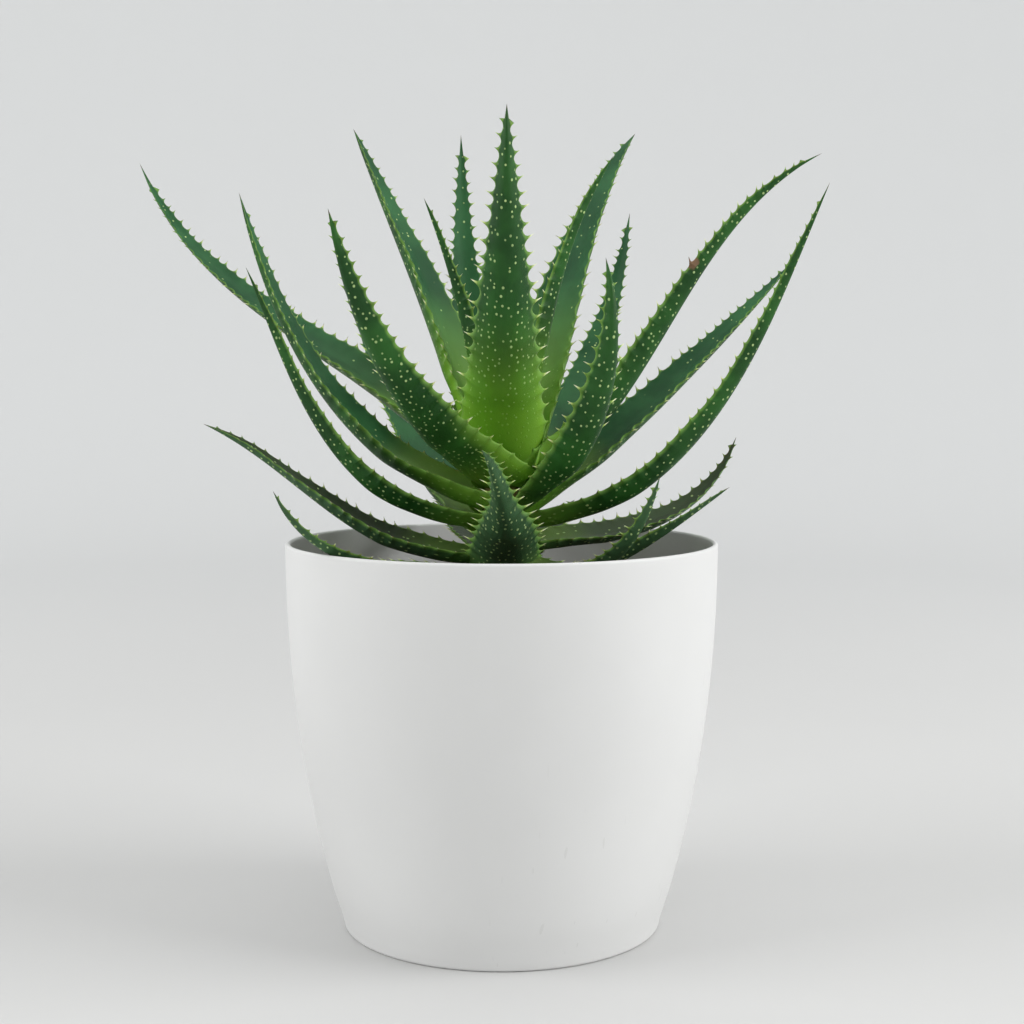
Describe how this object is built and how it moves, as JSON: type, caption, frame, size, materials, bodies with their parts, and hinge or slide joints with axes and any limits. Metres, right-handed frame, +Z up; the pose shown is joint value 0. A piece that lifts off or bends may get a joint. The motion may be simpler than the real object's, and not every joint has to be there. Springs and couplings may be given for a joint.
{
  "type": "potted aloe plant",
  "caption": "Spiny-leaved aloe rosette with long curved leaves, growing in a plain round matte white indoor pot.",
  "frame": {"origin": "on the floor at the pot's axis, in the middle of its flat underside", "axes": "+Z up along the pot's axis, the front of the plant towards -Y, +X to the viewer's right"},
  "size_m": [0.2978, 0.2252, 0.3424],
  "materials": {
    "pot": "matt white injection-moulded plastic with a fine satin texture",
    "soil": "dry crumbly potting soil",
    "stem": "short fleshy stem, green to tan, with leaf scars",
    "leaf": "smooth fleshy leaf, satin, with pale spots and spiny pale margins"
  },
  "bodies": {
    "root": {"pot": "pot", "soil": "soil", "stem": "stem", "leaf_long_back_left": "leaf", "leaf_long_front_right": "leaf", "leaf_long_front_left": "leaf", "leaf_long_back": "leaf", "leaf_long_right": "leaf", "leaf_front_right": "leaf", "leaf_far_left": "leaf", "leaf_right_back": "leaf", "leaf_longest_right": "leaf", "leaf_crown_back_left": "leaf", "leaf_front_left": "leaf", "leaf_longest_left": "leaf", "leaf_upper_right_back": "leaf", "leaf_crown_front": "leaf", "leaf_upper_left": "leaf", "leaf_crown_right": "leaf", "leaf_crown_left": "leaf", "leaf_crown_back": "leaf", "leaf_low_front_left": "leaf", "leaf_low_right": "leaf", "leaf_low_front": "leaf", "leaf_low_back": "leaf", "leaf_low_left": "leaf", "leaf_low_back_left": "leaf", "leaf_low_front_right": "leaf", "leaf_low_back_right": "leaf"}
  },
  "joints": []
}
